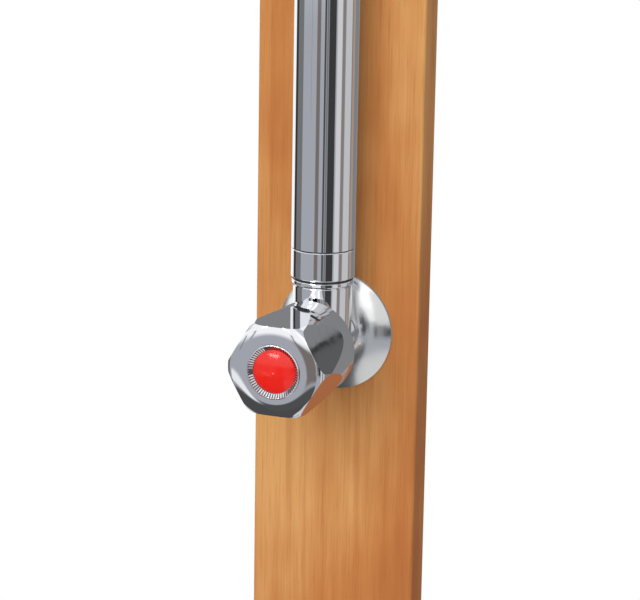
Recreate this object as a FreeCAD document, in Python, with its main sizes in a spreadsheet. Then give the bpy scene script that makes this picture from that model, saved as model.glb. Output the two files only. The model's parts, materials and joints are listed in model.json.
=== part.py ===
import FreeCAD, Part
import math
import os
import Sketcher

# Outdoor shower post: a wooden board in a steel foot, a wall-type screw-down valve bolted
# through the board, and a riser tube that bends forward to a shower head on a ball.
# Millimetres. +Z is up, -Y is the front, and the origin is the centre of the foot plate's
# anchor pattern on the ground.

Vector = FreeCAD.Vector
Rotation = FreeCAD.Rotation

SIZES = {
    # Board
    "board_width": 88.0,
    "board_thick": 20.0,
    "board_length": 2050.0,
    "board_ease": 1.5,
    # Foot plate
    "plate_side": 300.0,
    "plate_thick": 6.0,
    "plate_corner": 20.0,
    "anchor_spacing": 240.0,
    "anchor_radius": 5.5,
    # Shoe and its bolts
    "shoe_width": 80.0,
    "shoe_height": 110.0,
    "shoe_wall": 3.0,
    "shoe_play": 0.2,
    "shoe_corner": 10.0,
    "weld_leg": 3.0,
    "bolt_radius": 4.0,
    "bolt_play": 0.25,
    "bolt_spacing": 44.0,
    "bolt_height": 68.0,
    "bolt_head_radius": 9.0,
    "bolt_head_height": 3.6,
    "bolt_tail": 7.5,
    "bolt_chamfer": 0.6,
    "washer_radius": 8.5,
    "washer_thick": 1.6,
    "nut_across": 13.0,
    "nut_height": 6.5,
    "nut_dome": 4.5,
    "nut_dome_step": 0.5,
    "hex_bevel_share": 0.6,
    # Inlet through the board
    "valve_height": 1050.0,
    "thread_radius": 10.4775,
    "thread_play": 0.12,
    "inlet_hole_play": 1.0,
    "nipple_bore": 7.0,
    "nipple_engage": 10.0,
    "nipple_stop": 0.3,
    "nipple_tail": 28.0,
    "nipple_chamfer": 1.0,
    "relief_gap": 0.5,
    "relief_width": 2.0,
    "relief_depth": 0.9,
    "inlet_washer_radius": 17.5,
    "inlet_washer_thick": 1.5,
    "locknut_across": 27.0,
    "locknut_height": 8.0,
    # Cover plate
    "cover_radius": 30.2,
    "cover_gap": 0.5,
    "cover_band": 1.8,
    "cover_curve": 34.0,
    "cover_wall": 1.2,
    "cover_play": 0.4,
    # Valve body
    "riser_stand": 21.7,
    "neck_radius": 14.8,
    "elbow_step": 0.5,
    "barrel_step": 2.3,
    "boss_step": 0.7,
    "waterway_radius": 6.5,
    "seat_face": 14.0,
    "seat_lip": 1.0,
    "seat_land": 1.2,
    "chamber_radius": 9.8,
    "socket_floor": 26.0,
    "neck_bore": 7.0,
    "neck_top": 28.7,
    "neck_groove_depth": 0.6,
    "neck_groove_height": 0.8,
    "bead_radius": 15.5,
    "bead_height": 2.6,
    "bead_chamfer": 0.6,
    "oring_height": 1.0,
    "oring_inset": 0.2,
    "oring_seat": 0.05,
    "oring_groove_share": 1.2,
    "collar_height": 14.4,
    "collar_chamfer": 0.4,
    "gasket_height": 0.6,
    "spigot_play": 0.15,
    "spigot_height": 18.0,
    "spigot_oring_radius": 0.85,
    # Headwork, closed
    "headwork_gasket_thick": 1.0,
    "hex_across": 24.0,
    "hex_height": 5.5,
    "headwork_radius": 9.5,
    "headwork_end": 60.0,
    "headwork_inset": 0.4,
    "headwork_chamfer": 0.8,
    "guide_play": 0.3,
    "journal_radius": 6.9,
    "journal_play": 0.08,
    "spindle_end_play": 0.25,
    "spindle_neck_radius": 4.6,
    "screw_radius": 3.0,
    "screw_reach": 14.0,
    "screw_chamfer": 0.6,
    "square_side": 7.0,
    "square_lead": 0.5,
    "square_grip": 16.5,
    "square_end_gap": 0.2,
    "spindle_oring_radius": 0.85,
    "spindle_oring_place": 5.5,
    "clip_place": 56.0,
    "clip_thick": 1.2,
    "clip_bite": 0.9,
    "clip_play": 0.1,
    # Jumper and its disc
    "seat_gap": 0.2,
    "lift": 3.0,
    "disc_radius": 8.6,
    "disc_thick": 3.0,
    "jumper_plate_radius": 8.2,
    "jumper_plate_thick": 2.0,
    "jumper_stem_radius": 5.0,
    "jumper_stem_length": 19.0,
    "jumper_headroom": 2.8,
    "disc_screw_radius": 1.6,
    "disc_screw_head_radius": 3.4,
    "disc_screw_head_height": 1.6,
    "disc_screw_length": 6.0,
    # Knob
    "knob_start": 40.0,
    "knob_front": 90.2,
    "knob_rim_radius": 23.8,
    "knob_rim_band": 6.0,
    "knob_shoulder_radius": 26.0,
    "knob_shoulder_place": 80.0,
    "knob_edge_radius": 24.6,
    "knob_edge_round": 4.0,
    "knob_face_fall": 1.2,
    "knob_face_curve": 40.0,
    "knob_flats": 6.0,
    "flat_front_reach": 21.9,
    "flat_back_reach": 24.3,
    "flat_back_place": 50.0,
    "knob_rest_angle": -1.0,
    "knob_cavity_radius": 18.5,
    "knob_wall": 4.5,
    "hub_radius": 8.0,
    "hub_gap": 1.5,
    "hub_floor": 3.5,
    "square_play": 0.1,
    "knob_screw_radius": 2.0,
    "knob_screw_length": 12.0,
    "knob_screw_head_radius": 4.6,
    "knob_screw_head_height": 2.8,
    "screw_play": 0.15,
    "slot_width": 1.0,
    "slot_depth": 1.2,
    "cut_margin": 1.0,
    # Index and its bezel
    "index_radius": 10.7,
    "index_seat": 0.1,
    "index_edge": 2.9,
    "index_dome": 1.9,
    "index_play": 0.15,
    "bezel_radius": 13.4,
    "bezel_depth": 4.0,
    "bezel_rise": 0.9,
    "bezel_slope_radius": 12.5,
    "bezel_slope_depth": 1.7,
    "bezel_teeth": 60.0,
    "tooth_gap_width": 0.55,
    "tooth_gap_depth": 0.5,
    "tooth_gap_margin": 0.15,
    # Riser tube
    "tube_radius": 16.0,
    "tube_wall": 1.2,
    "bend_clear": 21.0,
    "bend_radius": 110.0,
    "arm_turn": 150.0,
    "arm_tail": 30.0,
    # Saddles
    "upper_saddle_drop": 109.0,
    "saddle_spacing": 480.0,
    "strap_width": 18.0,
    "strap_thick": 1.6,
    "strap_play": 0.1,
    "strap_bend": 1.2,
    "ear_length": 15.0,
    "ear_corner": 5.0,
    "pad_half_width": 9.0,
    "saddle_screw_radius": 1.9,
    "saddle_screw_depth": 15.0,
    "saddle_screw_point": 4.0,
    "saddle_head_radius": 3.9,
    "saddle_head_height": 2.4,
    # Arm end and ball nipple
    "plug_insert": 14.0,
    "plug_flange": 2.0,
    "plug_cone": 6.0,
    "plug_cone_radius": 11.8,
    "plug_thread": 11.0,
    "plug_play": 0.1,
    "nipple_gasket_thick": 1.5,
    "nipple_hex_across": 24.0,
    "nipple_hex_end": 2.5,
    "nipple_hex_gap": 0.6,
    "nipple_hex_taper": 3.0,
    "ball_reach": 46.0,
    "ball_radius": 11.0,
    "ball_neck_radius": 5.0,
    "ball_bore": 3.2,
    "ball_play": 0.3,
    "ball_seat_wall": 1.4,
    "ball_seat_edge": 50.0,
    "ball_seat_inner_edge": 70.0,
    "nut_open_angle": 46.0,
    "nut_mouth_radius": 10.8,
    "nut_back": 12.5,
    "nut_front": 7.5,
    "nut_outer_radius": 19.0,
    "nut_chamfer": 3.0,
    "nut_edge": 0.8,
    "swivel_across": 35.0,
    # Shower head
    "head_neck_radius": 15.5,
    "head_neck_start": 0.4,
    "head_neck_end": 10.0,
    "packing_radius": 13.0,
    "packing_depth": 6.0,
    "packing_play": 0.1,
    "ball_room_radius": 11.8,
    "ball_room_depth": 12.0,
    "head_floor": 3.0,
    "head_floor_width": 2.0,
    "head_inlet_radius": 4.0,
    "head_radius": 39.0,
    "head_bell_end": 46.0,
    "head_bell_curve": 40.0,
    "head_end": 56.0,
    "head_wall": 2.2,
    "mat_thick": 2.0,
    "nozzle_radius": 1.4,
    "nozzle_rise": 1.2,
    "nozzle_bore": 0.5,
    "nozzle_play": 0.15,
    "nozzle_ring_step": 10.0,
    "nozzle_ring_count": 6.0,
    "plate_face_thick": 2.2,
    "ring_wall": 2.6,
    "ring_play": 0.15,
    "ring_lip": 1.8,
    "ring_lip_width": 2.4,
    "ring_lip_slope": 1.0,
    "ring_bevel": 0.8,
    "ring_round": 1.5,
    "ring_overlap": 8.0,
}


class Size:
    """A size that knows its value and the sheet expression that gives it."""

    def __init__(self, value, text):
        self.value = float(value)
        self.text = text

    def __add__(self, other):
        other = sized(other)
        return Size(self.value + other.value, f"({self.text} + {other.text})")

    def __sub__(self, other):
        other = sized(other)
        return Size(self.value - other.value, f"({self.text} - {other.text})")

    def __rsub__(self, other):
        return sized(other) - self

    def __mul__(self, other):
        other = sized(other)
        return Size(self.value * other.value, f"({self.text} * {other.text})")

    def __truediv__(self, other):
        other = sized(other)
        return Size(self.value / other.value, f"({self.text} / {other.text})")

    def __neg__(self):
        return sized(0) - self

    __radd__ = __add__
    __rmul__ = __mul__


def sized(item):
    return item if isinstance(item, Size) else Size(item, repr(float(item)))


def root(size):
    return Size(math.sqrt(size.value), f"sqrt({size.text})")


def sine(angle):
    return Size(math.sin(math.radians(angle.value)), f"sin({angle.text} * 1deg)")


def cosine(angle):
    return Size(math.cos(math.radians(angle.value)), f"cos({angle.text} * 1deg)")


class SizeSheet:
    """The spreadsheet of driving sizes, read as s.name."""

    def __init__(self, document, sizes):
        self.sheet = document.addObject("Spreadsheet::Sheet", "Sizes")
        for row, (name, value) in enumerate(sizes.items(), start=1):
            self.sheet.set(f"A{row}", name)
            self.sheet.set(f"B{row}", repr(value))
            self.sheet.setAlias(f"B{row}", name)
            setattr(self, name, Size(value, f"Sizes.{name}"))


doc = FreeCAD.newDocument("OutdoorShowerPost")
s = SizeSheet(doc, SIZES)
doc.recompute()

pieces = []


# ---------------------------------------------------------------------------
# Frames: where a piece's own origin and axes stand on the post
# ---------------------------------------------------------------------------

class Frame:
    """A place on the post: sizes for its origin, and a rotation about the X or Z axis."""

    def __init__(self, x=0.0, y=0.0, z=0.0, axis=(1, 0, 0), angle=0.0):
        self.base = [sized(x), sized(y), sized(z)]
        self.axis = Vector(*axis)
        self.angle = sized(angle)

    def place(self, item, spin=0.0):
        turn = Rotation(self.axis, self.angle.value) * Rotation(Vector(0, 0, 1), spin)
        item.Placement = FreeCAD.Placement(Vector(*[size.value for size in self.base]), turn)
        for letter, size in zip("xyz", self.base):
            item.setExpression(f"Placement.Base.{letter}", size.text)
        if "Sizes" in self.angle.text:
            item.setExpression("Placement.Rotation.Angle", self.angle.text)


FRONT = 90.0     # turns a piece's own +Z to the front and its +Y up
BACK = -90.0     # turns a piece's own +Z to the back

board_face = -(s.board_thick / 2)
board_foot = s.plate_thick + s.shoe_wall
board_top = board_foot + s.board_length
ground = Frame()
# Own z is the distance in front of the board, and own y is the height above the valve axis.
valve = Frame(y=board_face, z=s.valve_height, angle=FRONT)
# Own y is the distance in front of the board, and own z is the height above the valve axis.
riser = Frame(y=board_face, z=s.valve_height, axis=(0, 0, 1), angle=180.0)
# Own z runs up the riser's axis from the height of the valve axis.
tube_line = Frame(y=board_face - s.riser_stand, z=s.valve_height)

# Heights on the riser are above the valve axis.
riser_rise = board_top + s.bend_clear - s.valve_height
upper_saddle = board_top - s.upper_saddle_drop - s.valve_height
lower_saddle = upper_saddle - s.saddle_spacing
arm_out = s.riser_stand + s.bend_radius * (1 - cosine(s.arm_turn)) + s.arm_tail * sine(s.arm_turn)
arm_up = riser_rise + s.bend_radius * sine(s.arm_turn) + s.arm_tail * cosine(s.arm_turn)
# Own z leaves the arm along its end, from the tube's cut end.
arm_end = Frame(y=board_face - arm_out, z=s.valve_height + arm_up, angle=s.arm_turn)
# Own z is the spray direction, from the centre of the ball.
ball = Frame(
    y=board_face - arm_out - s.ball_reach * sine(s.arm_turn),
    z=s.valve_height + arm_up + s.ball_reach * cosine(s.arm_turn),
    angle=s.arm_turn,
)


# ---------------------------------------------------------------------------
# Sketches
# ---------------------------------------------------------------------------

def new_body(label, frame, spin=0.0):
    body = doc.addObject("PartDesign::Body", label)
    body.Label = label
    frame.place(body, spin)
    pieces.append(body)
    return body


def new_sketch(body, plane, offset=0.0):
    """A sketch on one of the body's own origin planes, moved along the plane's normal."""
    sketch = body.newObject("Sketcher::SketchObject", "Sketch")
    support = [item for item in body.Origin.OriginFeatures if item.Role == plane + "_Plane"]
    sketch.AttachmentSupport = [(support[0], "")]
    sketch.MapMode = "FlatFace"
    offset = sized(offset)
    sketch.AttachmentOffset = FreeCAD.Placement(Vector(0, 0, offset.value), Rotation())
    sketch.setExpression("AttachmentOffset.Base.z", offset.text)
    return sketch


def bind(sketch, constraint, size):
    index = sketch.addConstraint(constraint)
    if "Sizes" in size.text:
        sketch.setExpression(f"Constraints[{index}]", size.text)


def pin_point(sketch, geometry, point, x, y):
    """Hold one point of a sketch at x, y from the sketch's origin."""
    for axis, kind, size in ((-2, "DistanceX", sized(x)), (-1, "DistanceY", sized(y))):
        if size.text == "0.0":
            sketch.addConstraint(Sketcher.Constraint("PointOnObject", geometry, point, axis))
        else:
            bind(sketch, Sketcher.Constraint(kind, -1, 1, geometry, point, size.value), size)


def arc_through(start, end, radius):
    """The arc of less than half a turn from start to end; a negative radius runs clockwise."""
    chord = end - start
    middle = (start + end) * 0.5
    reach = math.sqrt(max(radius * radius - chord.Length ** 2 / 4, 0.0))
    side = Vector(-chord.y, chord.x, 0).normalize() * math.copysign(reach, radius)
    centre = middle + side
    first, last = (start, end) if radius > 0 else (end, start)
    angles = [math.atan2(point.y - centre.y, point.x - centre.x) for point in (first, last)]
    circle = Part.Circle(centre, Vector(0, 0, 1), abs(radius))
    return Part.ArcOfCircle(circle, angles[0], angles[1])


def draw_outline(sketch, points):
    """A closed outline. A point's third value is the radius of the arc that reaches it."""
    corners = [(sized(point[0]), sized(point[1])) for point in points]
    places = [Vector(x.value, y.value, 0) for x, y in corners]
    edges = []
    for index, point in enumerate(points):
        start, end = places[index - 1], places[index]
        if len(point) == 3:
            radius = sized(point[2])
            edge = sketch.addGeometry(arc_through(start, end, radius.value), False)
            ends = (1, 2) if radius.value > 0 else (2, 1)
            size = radius if radius.value > 0 else -radius
            bind(sketch, Sketcher.Constraint("Radius", edge, size.value), size)
        else:
            edge = sketch.addGeometry(Part.LineSegment(start, end), False)
            ends = (1, 2)
        edges.append((edge, ends))
    for index, (edge, ends) in enumerate(edges):
        following, following_ends = edges[(index + 1) % len(edges)]
        joint = Sketcher.Constraint("Coincident", edge, ends[1], following, following_ends[0])
        sketch.addConstraint(joint)
        pin_point(sketch, edge, ends[1], *corners[index])


def draw_circle(sketch, x, y, radius):
    x, y, radius = sized(x), sized(y), sized(radius)
    circle = Part.Circle(Vector(x.value, y.value, 0), Vector(0, 0, 1), radius.value)
    edge = sketch.addGeometry(circle, False)
    bind(sketch, Sketcher.Constraint("Radius", edge, radius.value), radius)
    pin_point(sketch, edge, 3, x, y)


def draw_box(sketch, half_x, half_y, corner=None, centre_y=0.0):
    """A rectangle about the sketch's vertical axis, with rounded corners if a radius is given."""
    low, high = centre_y - half_y, centre_y + half_y
    if corner is None:
        points = [(half_x, low), (half_x, high), (-half_x, high), (-half_x, low)]
    else:
        points = [
            (half_x, low + corner, corner), (half_x, high - corner),
            (half_x - corner, high, corner), (corner - half_x, high),
            (-half_x, high - corner, corner), (-half_x, low + corner),
            (corner - half_x, low, corner), (half_x - corner, low),
        ]
    draw_outline(sketch, points)


def draw_hexagon(sketch, across):
    flat = across / 2
    corner = across / math.sqrt(3)
    draw_outline(sketch, [
        (flat, -(corner / 2)), (flat, corner / 2), (0, corner),
        (-flat, corner / 2), (-flat, -(corner / 2)), (0, -corner),
    ])


# ---------------------------------------------------------------------------
# Features
# ---------------------------------------------------------------------------

def extrude(body, kind, sketch, length, reverse=False, both=False):
    feature = body.newObject(f"PartDesign::{kind}", kind)
    feature.Profile = sketch
    length = sized(length)
    feature.Length = length.value
    feature.setExpression("Length", length.text)
    feature.Reversed = reverse
    if both:
        feature.SideType = "Symmetric"
    return feature


def pad(body, sketch, length, reverse=False, both=False):
    return extrude(body, "Pad", sketch, length, reverse, both)


def pocket(body, sketch, length, reverse=False, both=False):
    return extrude(body, "Pocket", sketch, length, reverse, both)


def spin_profile(body, kind, points, plane="XZ"):
    """Turn a profile of (radius, height) points about the piece's own Z axis."""
    sketch = new_sketch(body, plane)
    draw_outline(sketch, points)
    feature = body.newObject(f"PartDesign::{kind}", kind)
    feature.Profile = sketch
    feature.ReferenceAxis = (sketch, ["V_Axis"])
    feature.Angle = 360.0
    return feature


def turned(label, frame, points, spin=0.0):
    body = new_body(label, frame, spin)
    spin_profile(body, "Revolution", points)
    return body


def ring(label, frame, inner, outer, low, high):
    return turned(label, frame, [(inner, low), (outer, low), (outer, high), (inner, high)])


def round_ring(label, frame, middle, thick, height):
    """An O-ring: a small circle turned about the piece's own Z axis."""
    body = new_body(label, frame)
    sketch = new_sketch(body, "XZ")
    draw_circle(sketch, middle, height, thick)
    feature = body.newObject("PartDesign::Revolution", "Revolution")
    feature.Profile = sketch
    feature.ReferenceAxis = (sketch, ["V_Axis"])
    feature.Angle = 360.0
    return body


def cut_flats(body, across, low, length):
    """Cut a turned blank down to a hexagon, which leaves its chamfered corners."""
    sketch = new_sketch(body, "XY", low)
    draw_circle(sketch, 0, 0, across)
    draw_hexagon(sketch, across)
    return pocket(body, sketch, length, reverse=True)


def hex_blank(across, bore, low, high):
    """The turned blank of a hexagon piece, with its corners chamfered at both ends."""
    corner = across / math.sqrt(3)
    bevel = (corner - across / 2) * s.hex_bevel_share
    return [
        (bore, low), (across / 2, low), (corner, low + bevel),
        (corner, high - bevel), (across / 2, high), (bore, high),
    ]


def polar(body, features, count):
    pattern = body.newObject("PartDesign::PolarPattern", "PolarPattern")
    pattern.Originals = features
    axis = [item for item in body.Origin.OriginFeatures if item.Role == "Z_Axis"][0]
    pattern.Axis = (axis, [""])
    pattern.Angle = 360.0
    pattern.Occurrences = int(count.value)
    pattern.setExpression("Occurrences", count.text)
    body.Tip = pattern
    return pattern


def repeat(body, role, length, second_role=None, second_length=None):
    """Two copies of the whole piece, or four where a second direction is given."""
    body.AllowCompound = True
    doc.recompute()
    pattern = body.newObject("PartDesign::LinearPattern", "LinearPattern")
    pattern.TransformMode = "Whole shape"
    axes = {item.Role: item for item in body.Origin.OriginFeatures}
    pattern.Direction = (axes[role], [""])
    pattern.Length = length.value
    pattern.setExpression("Length", length.text)
    pattern.Occurrences = 2
    if second_role:
        pattern.Direction2 = (axes[second_role], [""])
        pattern.Length2 = second_length.value
        pattern.setExpression("Length2", second_length.text)
        pattern.Occurrences2 = 2
    body.Tip = pattern


def edges_where(body, test):
    """Names of the edges whose middle point and direction pass the test."""
    doc.recompute()
    names = []
    for index, edge in enumerate(body.Shape.Edges, start=1):
        middle = edge.valueAt((edge.FirstParameter + edge.LastParameter) / 2)
        local = body.Placement.inverse().multVec(middle)
        if test(edge, local):
            names.append(f"Edge{index}")
    return names


def soften(body, kind, names, size):
    """A Fillet or a Chamfer on named edges of the body's last feature."""
    last = body.Tip
    feature = body.newObject(f"PartDesign::{kind}", kind)
    feature.Base = (last, names)
    target = "Radius" if kind == "Fillet" else "Size"
    setattr(feature, target, size.value)
    feature.setExpression(target, size.text)
    return feature


def near(value, size):
    return abs(value - sized(size).value) < 1e-3


# ---------------------------------------------------------------------------
# Board and foot
# ---------------------------------------------------------------------------

cheek_face = s.board_thick / 2 + s.shoe_play + s.shoe_wall
inlet_hole = s.thread_radius + s.inlet_hole_play
ear_middle = s.tube_radius + s.strap_play + s.strap_thick + s.ear_length / 2
elbow_radius = s.neck_radius + s.elbow_step
barrel_radius = elbow_radius - s.barrel_step
boss_end = s.riser_stand + s.neck_radius + s.boss_step
cover_depth = s.riser_stand - s.neck_radius - s.cover_gap


def make_board():
    body = new_body("post_board", ground)
    section = new_sketch(body, "XY", board_foot)
    draw_box(section, s.board_width / 2, s.board_thick / 2, s.board_ease)
    pad(body, section, s.board_length)
    rim = edges_where(body, lambda edge, at: near(at.z, board_top))
    soften(body, "Chamfer", rim, s.board_ease)
    through = new_sketch(body, "XZ")
    draw_circle(through, 0, s.valve_height, inlet_hole)
    for side in (-1, 1):
        draw_circle(through, s.bolt_spacing / 2 * side, s.bolt_height, s.bolt_radius + s.bolt_play)
    pocket(body, through, s.board_thick * 2, both=True)
    pilots = new_sketch(body, "XZ", s.board_thick / 2)
    for height in (lower_saddle, upper_saddle):
        for side in (-1, 1):
            centre = s.valve_height + height
            draw_circle(pilots, ear_middle * side, centre, s.saddle_screw_radius + s.screw_play)
    pocket(body, pilots, s.saddle_screw_depth + s.screw_play)


def make_foot_plate():
    body = new_body("foot_plate", ground)
    blank = new_sketch(body, "XY")
    draw_box(blank, s.plate_side / 2, s.plate_side / 2, s.plate_corner)
    pad(body, blank, s.plate_thick)
    anchors = new_sketch(body, "XY")
    for side_x in (-1, 1):
        for side_y in (-1, 1):
            half = s.anchor_spacing / 2
            draw_circle(anchors, half * side_x, half * side_y, s.anchor_radius)
    pocket(body, anchors, s.plate_thick, reverse=True)


def make_shoe():
    """A U section: two cheeks and a floor, with a weld bead along each cheek's foot."""
    body = new_body("post_shoe", ground)
    section = new_sketch(body, "YZ")
    low, floor = s.plate_thick, s.plate_thick + s.shoe_wall
    high = s.plate_thick + s.shoe_height
    outer, inner = cheek_face, s.board_thick / 2 + s.shoe_play
    bead = outer + s.weld_leg
    draw_outline(section, [
        (bead, low), (outer, low + s.weld_leg), (outer, high), (inner, high), (inner, floor),
        (-inner, floor), (-inner, high), (-outer, high), (-outer, low + s.weld_leg), (-bead, low),
    ])
    pad(body, section, s.shoe_width, both=True)

    def cheek_corner(edge, at):
        return near(at.z, high) and near(abs(at.x), s.shoe_width / 2)

    soften(body, "Fillet", edges_where(body, cheek_corner), s.shoe_corner)
    holes = new_sketch(body, "XZ")
    for side in (-1, 1):
        draw_circle(holes, s.bolt_spacing / 2 * side, s.bolt_height, s.bolt_radius + s.bolt_play)
    pocket(body, holes, cheek_face * 4, both=True)


def make_shoe_fasteners():
    half = s.bolt_spacing / 2
    shank = s.bolt_tail + cheek_face * 2
    tip = Frame(x=-half, y=cheek_face + s.bolt_tail, z=s.bolt_height, angle=FRONT)
    dome = (s.bolt_head_radius * s.bolt_head_radius / s.bolt_head_height + s.bolt_head_height) / 2
    bolts = turned("shoe_bolts", tip, [
        (0, 0), (s.bolt_radius - s.bolt_chamfer, 0), (s.bolt_radius, s.bolt_chamfer),
        (s.bolt_radius, shank), (s.bolt_head_radius, shank),
        (0, shank + s.bolt_head_height, dome),
    ])
    repeat(bolts, "X_Axis", s.bolt_spacing)
    cheek_back = Frame(x=-half, y=cheek_face, z=s.bolt_height, angle=BACK)
    bore = s.bolt_radius + s.bolt_play
    washers = ring("shoe_washers", cheek_back, bore, s.washer_radius, 0, s.washer_thick)
    repeat(washers, "X_Axis", s.bolt_spacing)
    low = s.washer_thick
    high = low + s.nut_height
    cap = s.nut_across / 2 - s.nut_dome_step
    corner = s.nut_across / math.sqrt(3)
    bevel = corner - s.nut_across / 2
    dome = (cap * cap / s.nut_dome + s.nut_dome) / 2
    bore = s.bolt_radius + s.thread_play
    nuts = turned("shoe_nuts", cheek_back, [
        (bore, low), (s.nut_across / 2, low), (corner, low + bevel), (corner, high - bevel),
        (s.nut_across / 2, high), (cap, high), (0, high + s.nut_dome, dome),
        (0, high), (bore, high),
    ])
    cut_flats(nuts, s.nut_across, low, s.nut_height)
    repeat(nuts, "X_Axis", s.bolt_spacing)


# ---------------------------------------------------------------------------
# Inlet through the board, and the cover plate
# ---------------------------------------------------------------------------

def make_inlet():
    front_end = Frame(y=board_face - s.nipple_engage, z=s.valve_height, angle=BACK)
    length = s.nipple_engage + s.board_thick + s.nipple_tail
    nut_face = s.nipple_engage + s.board_thick + s.inlet_washer_thick + s.locknut_height
    relief_low = nut_face + s.relief_gap
    relief_high = relief_low + s.relief_width
    relief = s.thread_radius - s.relief_depth
    bevel = s.nipple_chamfer
    turned("inlet_nipple", front_end, [
        (s.nipple_bore, 0), (s.thread_radius - bevel, 0), (s.thread_radius, bevel),
        (s.thread_radius, relief_low), (relief, relief_low), (relief, relief_high),
        (s.thread_radius, relief_high), (s.thread_radius, length - bevel),
        (s.thread_radius - bevel, length), (s.nipple_bore, length),
    ])
    board_back = Frame(y=s.board_thick / 2, z=s.valve_height, angle=BACK)
    thick = s.inlet_washer_thick
    ring("inlet_washer", board_back, inlet_hole, s.inlet_washer_radius, 0, thick)
    high = thick + s.locknut_height
    bore = s.thread_radius + s.thread_play
    nut = turned("inlet_locknut", board_back, hex_blank(s.locknut_across, bore, thick, high))
    cut_flats(nut, s.locknut_across, thick, s.locknut_height)


def make_cover():
    """A thin domed plate with a narrow upright band round its edge."""
    bore = barrel_radius + s.cover_play
    inside = s.cover_radius - s.cover_wall
    turned("escutcheon", valve, [
        (inside, 0), (s.cover_radius, 0), (s.cover_radius, s.cover_band),
        (bore, cover_depth, s.cover_curve), (bore, cover_depth - s.cover_wall),
        (inside, s.cover_band - s.cover_wall / 2, -(s.cover_curve - s.cover_wall)),
    ])


# ---------------------------------------------------------------------------
# Valve body and the joint with the riser tube
# ---------------------------------------------------------------------------

thread_hole = s.thread_radius + s.thread_play
spigot_radius = s.tube_radius - s.tube_wall - s.spigot_play
groove_radius = s.neck_radius - s.neck_groove_depth
bead_low = s.neck_top + s.neck_groove_height
bead_high = bead_low + s.bead_height
collar_low = bead_high + s.oring_height
collar_high = collar_low + s.collar_height
tube_low = collar_high + s.gasket_height
spigot_high = tube_low + s.spigot_height
spigot_groove_half = s.spigot_oring_radius * s.oring_groove_share
spigot_groove_low = tube_low + s.spigot_height / 2 - spigot_groove_half
spigot_groove_high = tube_low + s.spigot_height / 2 + spigot_groove_half
spigot_groove_radius = spigot_radius - s.spigot_oring_radius * 2


def make_valve_body():
    """Barrel, ball-shaped elbow and boss are turned; the neck is a stack of discs on them."""
    elbow = elbow_radius
    behind = root(elbow * elbow - barrel_radius * barrel_radius)
    body = turned("valve_body", valve, [
        (0, 0), (barrel_radius, 0), (barrel_radius, s.riser_stand - behind),
        (elbow, s.riser_stand, elbow), (elbow, boss_end), (0, boss_end),
    ])
    stack = [
        (s.neck_radius, 0, s.neck_top),
        (groove_radius, s.neck_top, bead_low),
        (s.bead_radius, bead_low, bead_high),
        (spigot_radius, bead_high, spigot_groove_low),
        (spigot_groove_radius, spigot_groove_low, spigot_groove_high),
        (spigot_radius, spigot_groove_high, spigot_high),
    ]
    for radius, low, high in stack:
        disc = new_sketch(body, "XZ", -sized(low))
        draw_circle(disc, 0, s.riser_stand, radius)
        pad(body, disc, high - low, reverse=True)

    def bead_edge(edge, at):
        on_end = near(at.y, bead_low) or near(at.y, bead_high)
        return on_end and near(math.hypot(at.x, at.z - s.riser_stand.value), s.bead_radius)

    soften(body, "Chamfer", edges_where(body, bead_edge), s.bead_chamfer)
    seat_edge = s.waterway_radius + s.seat_land
    inlet_end = s.nipple_engage + s.nipple_stop
    spin_profile(body, "Groove", [
        (0, 0), (thread_hole, 0), (thread_hole, inlet_end),
        (s.waterway_radius, inlet_end), (s.waterway_radius, s.seat_face),
        (seat_edge, s.seat_face), (seat_edge, s.seat_face - s.seat_lip),
        (s.chamber_radius, s.seat_face - s.seat_lip), (s.chamber_radius, s.socket_floor),
        (thread_hole, s.socket_floor), (thread_hole, boss_end), (0, boss_end),
    ])
    outlet = new_sketch(body, "XZ")
    draw_circle(outlet, 0, s.riser_stand, s.neck_bore)
    pocket(body, outlet, spigot_high, reverse=False)


def make_tube_joint():
    bore = spigot_radius + s.plug_play
    ring("collar_oring", tube_line, bore, s.bead_radius - s.oring_inset, bead_high, collar_low)
    bevel = s.collar_chamfer
    turned("outlet_collar", tube_line, [
        (bore, collar_low), (s.tube_radius - bevel, collar_low),
        (s.tube_radius, collar_low + bevel), (s.tube_radius, collar_high - bevel),
        (s.tube_radius - bevel, collar_high), (bore, collar_high),
    ])
    ring("tube_gasket", tube_line, bore, s.tube_radius - bevel, collar_high, tube_low)
    middle = spigot_groove_radius + s.spigot_oring_radius + s.oring_seat
    height = tube_low + s.spigot_height / 2
    round_ring("spigot_oring", tube_line, middle, s.spigot_oring_radius, height)


# ---------------------------------------------------------------------------
# Headwork, drawn closed: distances are from the board's face
# ---------------------------------------------------------------------------

disc_low = s.seat_face + s.seat_gap
disc_high = disc_low + s.disc_thick
jumper_plate_high = disc_high + s.jumper_plate_thick
jumper_high = jumper_plate_high + s.jumper_stem_length
guide_high = jumper_high + s.lift + s.jumper_headroom
headwork_low = s.socket_floor + s.headwork_inset
hex_low = boss_end + s.headwork_gasket_thick
hex_high = hex_low + s.hex_height
journal_low = guide_high + s.spindle_end_play
journal_high = s.clip_place - s.clip_play
clip_high = s.clip_place + s.clip_thick
guide_radius = s.jumper_stem_radius + s.guide_play
journal_bore = s.journal_radius + s.journal_play
clip_groove = journal_bore + s.clip_bite
oring_at = journal_low + s.spindle_oring_place
oring_floor = s.journal_radius - s.spindle_oring_radius * 2
oring_groove_half = s.spindle_oring_radius * s.oring_groove_share
hub_low = s.headwork_end + s.hub_gap
square_start = hub_low - s.square_lead
square_end = hub_low + s.square_grip


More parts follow.
